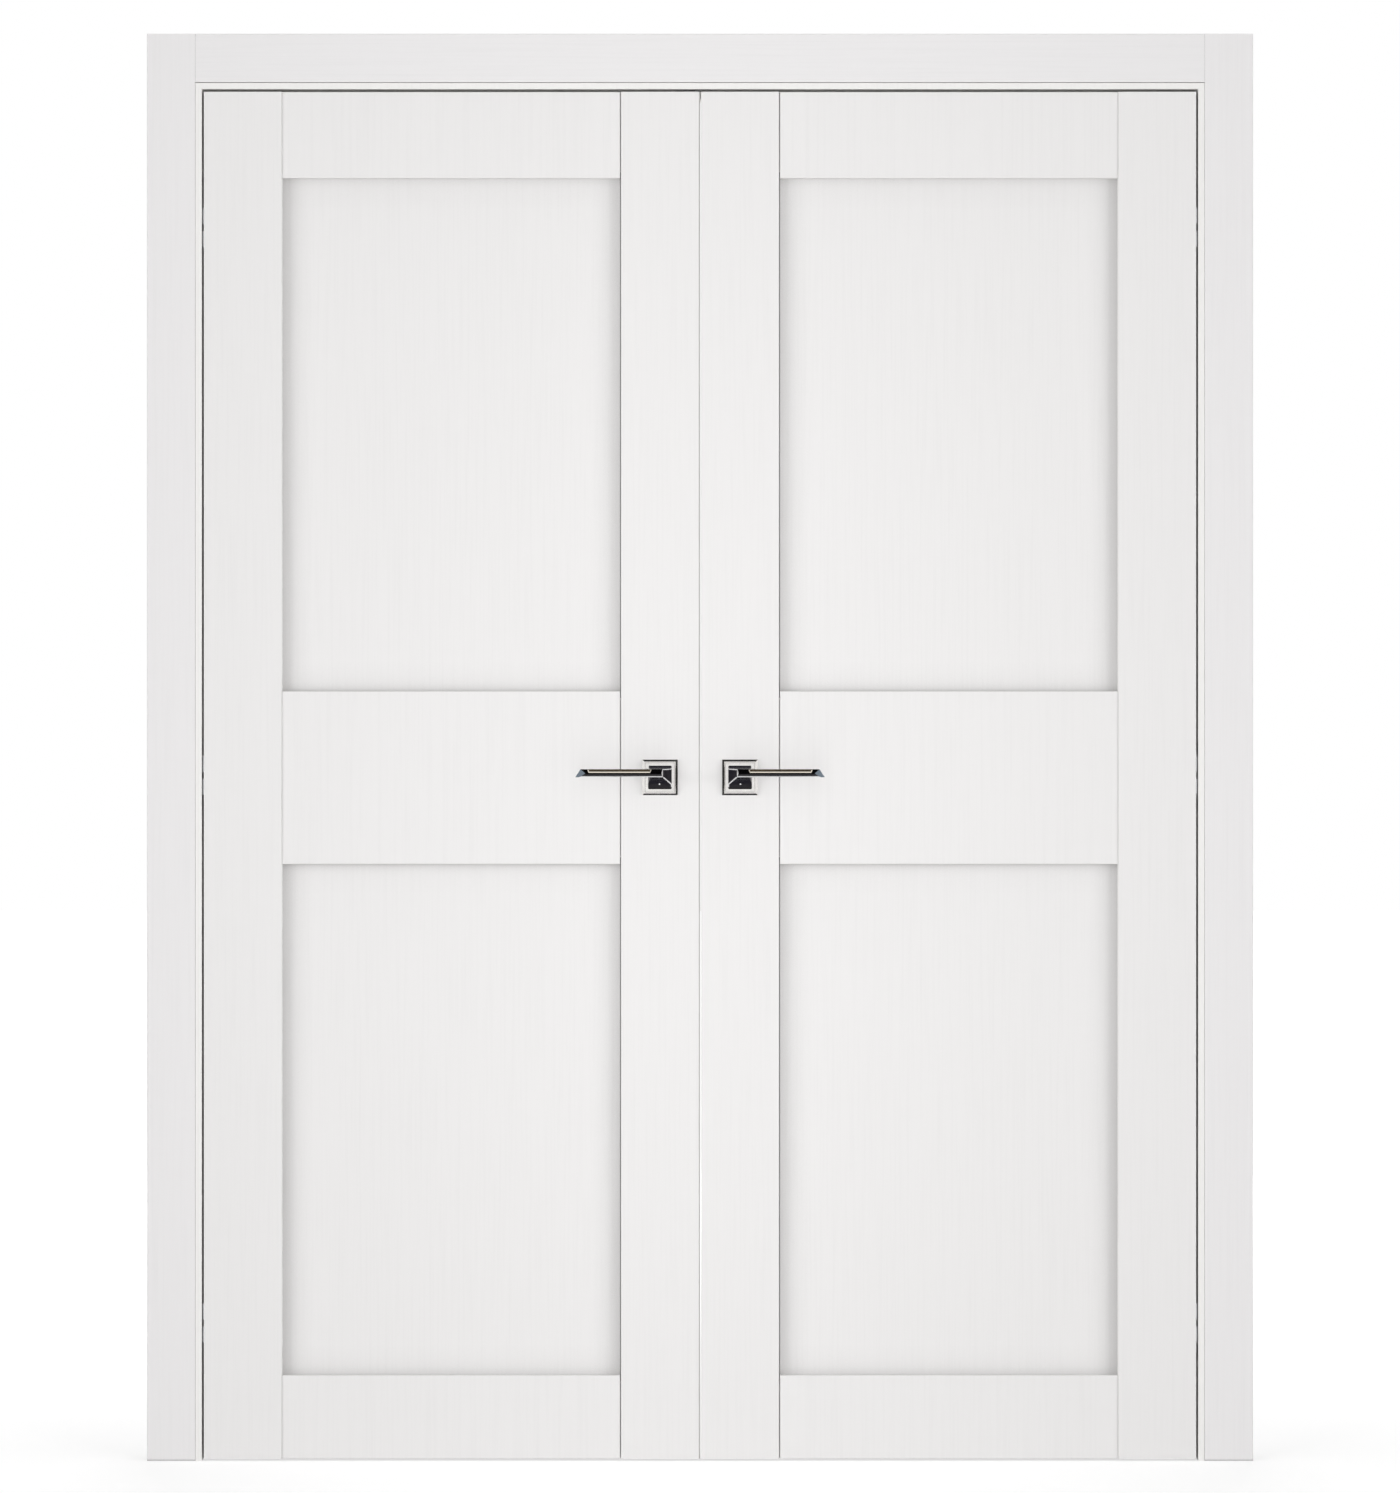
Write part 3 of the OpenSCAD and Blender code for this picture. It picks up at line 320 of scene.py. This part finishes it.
def paint_corner_shade(tree, color, depth, reach):
    """Paints shade into a colour where walls stand close around it."""
    hollow = add_node(tree, "ShaderNodeAmbientOcclusion", Distance=reach)
    hollow.samples = PAINTED_SHADE_SAMPLES
    wire(tree, color, hollow.inputs["Color"])
    mix = tree.nodes.new("ShaderNodeMix")
    mix.data_type = "RGBA"
    inputs = {socket.name: socket for socket in mix.inputs if socket.enabled}
    inputs["Factor"].default_value = depth
    wire(tree, color, inputs["A"])
    wire(tree, hollow.outputs["Color"], inputs["B"])
    return next(socket for socket in mix.outputs if socket.enabled)


def foil(name, color, along="Z", corners=None):
    finish, tree, shader = new_finish(name)
    scale = [GRAIN_ACROSS] * 3
    scale["XYZ".index(along)] = GRAIN_ALONG
    grain = stretched_noise(tree, scale)
    pores, ridges = shaded(color, PORE_TONE), shaded(color, RIDGE_TONE)
    tone = ramp(tree, grain, (PORE_STOP, pores), (FACE_STOP, color), (RIDGE_STOP, ridges))
    # Given corners, shade is painted into the colour near close walls.
    if corners:
        tone = paint_corner_shade(tree, tone, *corners)
    wire(tree, tone, shader.inputs["Base Color"])
    sheen = spread(tree, grain, PORE_ROUGHNESS, RIDGE_ROUGHNESS)
    wire(tree, sheen, shader.inputs["Roughness"])
    press(tree, shader, grain, EMBOSS_STRENGTH, EMBOSS_DEPTH)
    shader.inputs["Specular IOR Level"].default_value = FOIL_SHINE
    return finish


finishes = {
    "leaf_foil": foil("leaf_white_foil", LEAF_WHITE),
    "casing_foil": foil("casing_white_foil_painted_shade", (0.845, 0.832, 0.834), corners=CASING_PAINTED_SHADE),
    # The jamb's white is partly its own warmer cream and partly painted light: it is made lighter than
    # the casing's white to make up for the shade on its narrow edge between the casing and the gap.
    "jamb_foil": foil("jamb_cream_foil", (0.900, 0.890, 0.872)),
}
panel_foil_painted_shade = foil("panel_white_foil_painted_shade", LEAF_WHITE, corners=PANEL_PAINTED_SHADE)
head_foil = foil("head_casing_foil", (0.848, 0.836, 0.838), along="X")
print("foils:", [finish.name for finish in (*finishes.values(), panel_foil_painted_shade, head_foil)])

# %% [markdown]
# The fittings are metal. On the levers, dark nickel on the faces is a painted dark reflection, bright
# chrome on their edges a painted highlight and a bluish chrome on the slope of the tip a painted
# bluish reflection. The roses are polished nickel, the inlay is champagne with a painted dark
# reflection in dark bronze on its upward faces, brushed along the bar, and there are zinc castings and
# plated steel inside. Metal shows its surroundings, so each finish is a colour, a roughness and a fine
# texture of the way it was worked. The texture's scale is high across the marks of the tool and low
# along them.

# %% Metal finishes
POLISHED = {"scale": (90, 90, 90), "spot": 0.02}
BRUSHED = {"scale": (30, 2500, 2500), "spot": 0.06, "bump": 0.05}
DARK_REFLECTION_GLANCE = (0.40, 0.40, 0.42, 1)
METAL_DARK, METAL_PALE = 0.95, 1.04
METAL_DETAIL = 3.0
FINE_DEPTH = 0.0001


def metal(name, color, roughness, scale, spot, bump=0.0):
    finish, tree, shader = new_finish(name)
    texture = stretched_noise(tree, scale, METAL_DETAIL)
    dark, pale = shaded(color, METAL_DARK), shaded(color, METAL_PALE)
    tone = ramp(tree, texture, (NOISE_LOW, dark), (NOISE_HIGH, pale))
    wire(tree, tone, shader.inputs["Base Color"])
    sheen = spread(tree, texture, roughness - spot, roughness + spot)
    wire(tree, sheen, shader.inputs["Roughness"])
    shader.inputs["Metallic"].default_value = 1.0
    if bump:
        press(tree, shader, texture, bump, FINE_DEPTH)
    return finish


finishes["chrome"] = metal("bright_chrome", (0.78, 0.79, 0.80), 0.07, **POLISHED)
rose_nickel = metal("polished_nickel", (0.77, 0.755, 0.735), 0.10, **POLISHED)
# The dark nickel of the lever faces is a painted dark reflection.
dark_reflection_nickel = metal("dark_reflection_nickel", (0.046, 0.045, 0.048), 0.10, scale=(60, 60, 160), spot=0.02)
dark_reflection_shader = dark_reflection_nickel.node_tree.nodes["Principled BSDF"]
dark_reflection_shader.inputs["Specular Tint"].default_value = DARK_REFLECTION_GLANCE
# The bluish chrome is a painted reflection on the slope of the lever tips.
blue_reflection_chrome = metal("blue_reflection_chrome", (0.17, 0.205, 0.24), 0.10, **POLISHED)
# Dark bronze is a painted dark reflection on the upward faces of the inlays.
dark_reflection_bronze = metal("dark_reflection_bronze_satin", (0.24, 0.19, 0.13), 0.24, **BRUSHED)
finishes["satin_inlay"] = metal("champagne_satin", (0.80, 0.74, 0.64), 0.20, **BRUSHED)
finishes["zinc"] = metal("satin_zinc", (0.50, 0.51, 0.53), 0.38, (700, 700, 700), 0.06, 0.05)
finishes["steel"] = metal("plated_steel", (0.66, 0.67, 0.69), 0.24, (180, 180, 900), 0.05)
print("metals in slots:", [finishes[slot].name for slot in ("chrome", "satin_inlay", "zinc", "steel")])
print("metals for copies:", [rose_nickel.name, dark_reflection_nickel.name, blue_reflection_chrome.name, dark_reflection_bronze.name])

# %% [markdown]
# The rest is hardly seen: soft white sealing strips, beech dowels and a white acetal latch bolt.

# %% Seals, beech and acetal
PLASTIC_SPECKLE = (600, 600, 600)
PLASTIC_DARK, PLASTIC_SPREAD, PLASTIC_BUMP = 0.97, 0.08, 0.04
BEECH_GRAIN = (12, 500, 500)
BEECH_ROUGHNESS, BEECH_BUMP, BEECH_DEPTH = 0.62, 0.15, 0.0002
BEECH_DARK, BEECH_PALE = (0.46, 0.29, 0.15), (0.62, 0.43, 0.25)


def plastic(name, color, roughness):
    finish, tree, shader = new_finish(name)
    texture = stretched_noise(tree, PLASTIC_SPECKLE)
    tone = ramp(tree, texture, (NOISE_LOW, shaded(color, PLASTIC_DARK)), (NOISE_HIGH, color))
    wire(tree, tone, shader.inputs["Base Color"])
    sheen = spread(tree, texture, roughness, roughness + PLASTIC_SPREAD)
    wire(tree, sheen, shader.inputs["Roughness"])
    press(tree, shader, texture, PLASTIC_BUMP, FINE_DEPTH)
    return finish


finishes["gasket"] = plastic("white_seal", (0.74, 0.74, 0.72), 0.60)
finishes["latch_plastic"] = plastic("white_acetal", (0.76, 0.76, 0.73), 0.34)
finish, tree, shader = new_finish("turned_beech")
grain = stretched_noise(tree, BEECH_GRAIN)
tone = ramp(tree, grain, (NOISE_LOW, BEECH_DARK), (NOISE_HIGH, BEECH_PALE))
wire(tree, tone, shader.inputs["Base Color"])
shader.inputs["Roughness"].default_value = BEECH_ROUGHNESS
press(tree, shader, grain, BEECH_BUMP, BEECH_DEPTH)
finishes["beech"] = finish
print("the rest:", [finishes[slot].name for slot in ("gasket", "latch_plastic", "beech")])

# %% [markdown]
# Each solid names its finish in the record, so one loop gives every solid its material. The panels are
# an exception, because shade is painted into their colour towards their edges, and so are the head
# casings, because their grain lies along the door.

# %% Give the solids their finishes


def dress(piece, *materials):
    piece.data.materials.clear()
    for material in materials:
        piece.data.materials.append(material)


slot_of = {part["node"]: part["material_slot"] for part in frame["record"]["subparts"]}
for name, solid in nodes.items():
    if name.endswith("_panel"):
        dress(solid, panel_foil_painted_shade)
    elif name.startswith("head_") and name.endswith("_casing"):
        dress(solid, head_foil)
    else:
        dress(solid, finishes[slot_of[name]])
print("dressed", len(nodes), "solids in", len(set(slot_of.values())), "finishes")

# %% [markdown]
# The handles catch the eye, and polishing breaks every edge of the real ones. A solid's mesh is loose
# triangles with knife edges, so a copy of it is merged, its flat faces are made whole and a fine bevel
# goes round its edges. Smooth shading would bend the light on the flat faces, so weighted normals keep
# them flat. The copy rides on the body of its solid and stands in for it.

# %% Copies with polished edges
MERGE_DISTANCE = 0.00001
FLAT_ANGLE = math.radians(1)
SHARP_ANGLE = math.radians(28)
EDGE_SEGMENTS = 2
LARGE_FACES_FIRST = 100

bodies = frame["record"]["behaviour"]["bodies"]
body_of = {node: body for body, members in bodies.items() for node in members}


def merged_copy(node, name):
    piece = bpy.data.objects.new(name, nodes[node].data.copy())
    scene.collection.objects.link(piece)
    bpy.ops.object.select_all(action="DESELECT")
    piece.select_set(True)
    bpy.context.view_layer.objects.active = piece
    bpy.ops.object.mode_set(mode="EDIT")
    bpy.ops.mesh.select_all(action="SELECT")
    bpy.ops.mesh.remove_doubles(threshold=MERGE_DISTANCE)
    bpy.ops.mesh.dissolve_limited(angle_limit=FLAT_ANGLE)
    bpy.ops.mesh.customdata_custom_splitnormals_clear()
    bpy.ops.object.mode_set(mode="OBJECT")
    return piece


def break_edges(piece, width, smooth_angle):
    bevel = piece.modifiers.new("polished_edges", "BEVEL")
    bevel.width = width
    bevel.segments = EDGE_SEGMENTS
    bevel.angle_limit = SHARP_ANGLE
    bpy.ops.object.modifier_apply(modifier=bevel.name)
    bpy.ops.object.shade_smooth_by_angle(angle=math.radians(smooth_angle))
    flat = piece.modifiers.new("flat_faces_stay_flat", "WEIGHTED_NORMAL")
    flat.keep_sharp = True
    flat.weight = LARGE_FACES_FIRST
    bpy.ops.object.modifier_apply(modifier=flat.name)


def stand_for(piece, node):
    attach(piece, body_of[node])
    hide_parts(node)


print("bodies of the", len(body_of), "solids:", sorted(bodies))

# %% [markdown]
# A lever shows flat dark faces between bright polished edges, and both tones are painted. Both are in
# the solid already, so the faces of the copy only have to be chosen, by their place and normal: the
# ends of the bar, the edge under it and the narrow corners of the neck get bright chrome as a painted
# highlight, the slope at the tip bluish chrome as a painted bluish reflection, and the rest dark
# nickel as a painted dark reflection. The photograph shows no shadow of the levers on the wood, so the
# levers and their inlays cast none.

# %% Levers
NARROW_FACE = 0.002
BAR_BACK = 0.046
POLISHED_EDGE, POLISHED_SMOOTH = 0.00022, 25
TIP_LEAN, END_LEAN, UNDER_DROP = 0.4, 0.7, 0.8
# Material slots of a lever copy: painted dark reflection, painted highlight and painted bluish
# reflection.
DARK, BRIGHT, BLUE = 0, 1, 2

leaf_front, leaf_back = (corner.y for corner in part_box("left_lock_stile"))


def face_width(mesh, polygon):
    corners = [mesh.vertices[index].co for index in polygon.vertices]
    longest = max((corners[i] - corners[i - 1]).length for i in range(len(corners)))
    return polygon.area / longest


# Chooses by place and normal which faces get the painted dark reflection, the painted highlight and
# the painted bluish reflection.
def painted_reflection_slot(mesh, polygon):
    lean, drop = abs(polygon.normal.x), -polygon.normal.z
    if max(leaf_front - polygon.center.y, polygon.center.y - leaf_back) < BAR_BACK:
        return BRIGHT if face_width(mesh, polygon) < NARROW_FACE else DARK
    if TIP_LEAN < lean < END_LEAN:
        return BLUE
    return BRIGHT if lean > END_LEAN or drop > UNDER_DROP else DARK


for side in ("left", "right"):
    for face in ("front", "back"):
        node = f"{side}_{face}_lever"
        lever = merged_copy(node, f"{side}_{face}_lever_polished")
        dress(lever, dark_reflection_nickel, finishes["chrome"], blue_reflection_chrome)
        for polygon in lever.data.polygons:
            polygon.material_index = painted_reflection_slot(lever.data, polygon)
        break_edges(lever, POLISHED_EDGE, POLISHED_SMOOTH)
        stand_for(lever, node)
        lever.visible_shadow = False
        print(lever.name, "has", len(lever.data.polygons), "faces")

# %% [markdown]
# The inlay is a brushed champagne strip with sloped borders. Its field and upper border face upwards
# and get dark bronze, a painted dark reflection. The lower border and the mitred ends keep the pale
# champagne, and the normals of the faces tell them apart.

# %% Inlays
UPPER_SLOPE = 0.58

for side in ("left", "right"):
    node = f"{side}_lever_inlays"
    inlay = merged_copy(node, f"{side}_lever_inlays_brushed")
    dress(inlay, finishes["satin_inlay"], dark_reflection_bronze)
    for polygon in inlay.data.polygons:
        # Upward faces get the painted dark reflection in dark bronze.
        polygon.material_index = int(polygon.normal.z > UPPER_SLOPE)
    break_edges(inlay, POLISHED_EDGE, POLISHED_SMOOTH)
    stand_for(inlay, node)
    inlay.visible_shadow = False
    print(inlay.name, "has", len(inlay.data.polygons), "faces")

# %% [markdown]
# A rose is pressed from sheet and polished, so its hollow flank flows without facets. The copy is
# merged in the same way, its rim gets a fine bevel, and faces that meet at a shallow angle shade as
# one curve.

# %% Roses
ROSE_EDGE, ROSE_SMOOTH = 0.00035, 24

for side in ("left", "right"):
    for face in ("front", "back"):
        node = f"{side}_{face}_rose"
        rose = merged_copy(node, f"{side}_{face}_rose_polished")
        dress(rose, rose_nickel)
        break_edges(rose, ROSE_EDGE, ROSE_SMOOTH)
        stand_for(rose, node)
        print(rose.name, "has", len(rose.data.polygons), "faces")
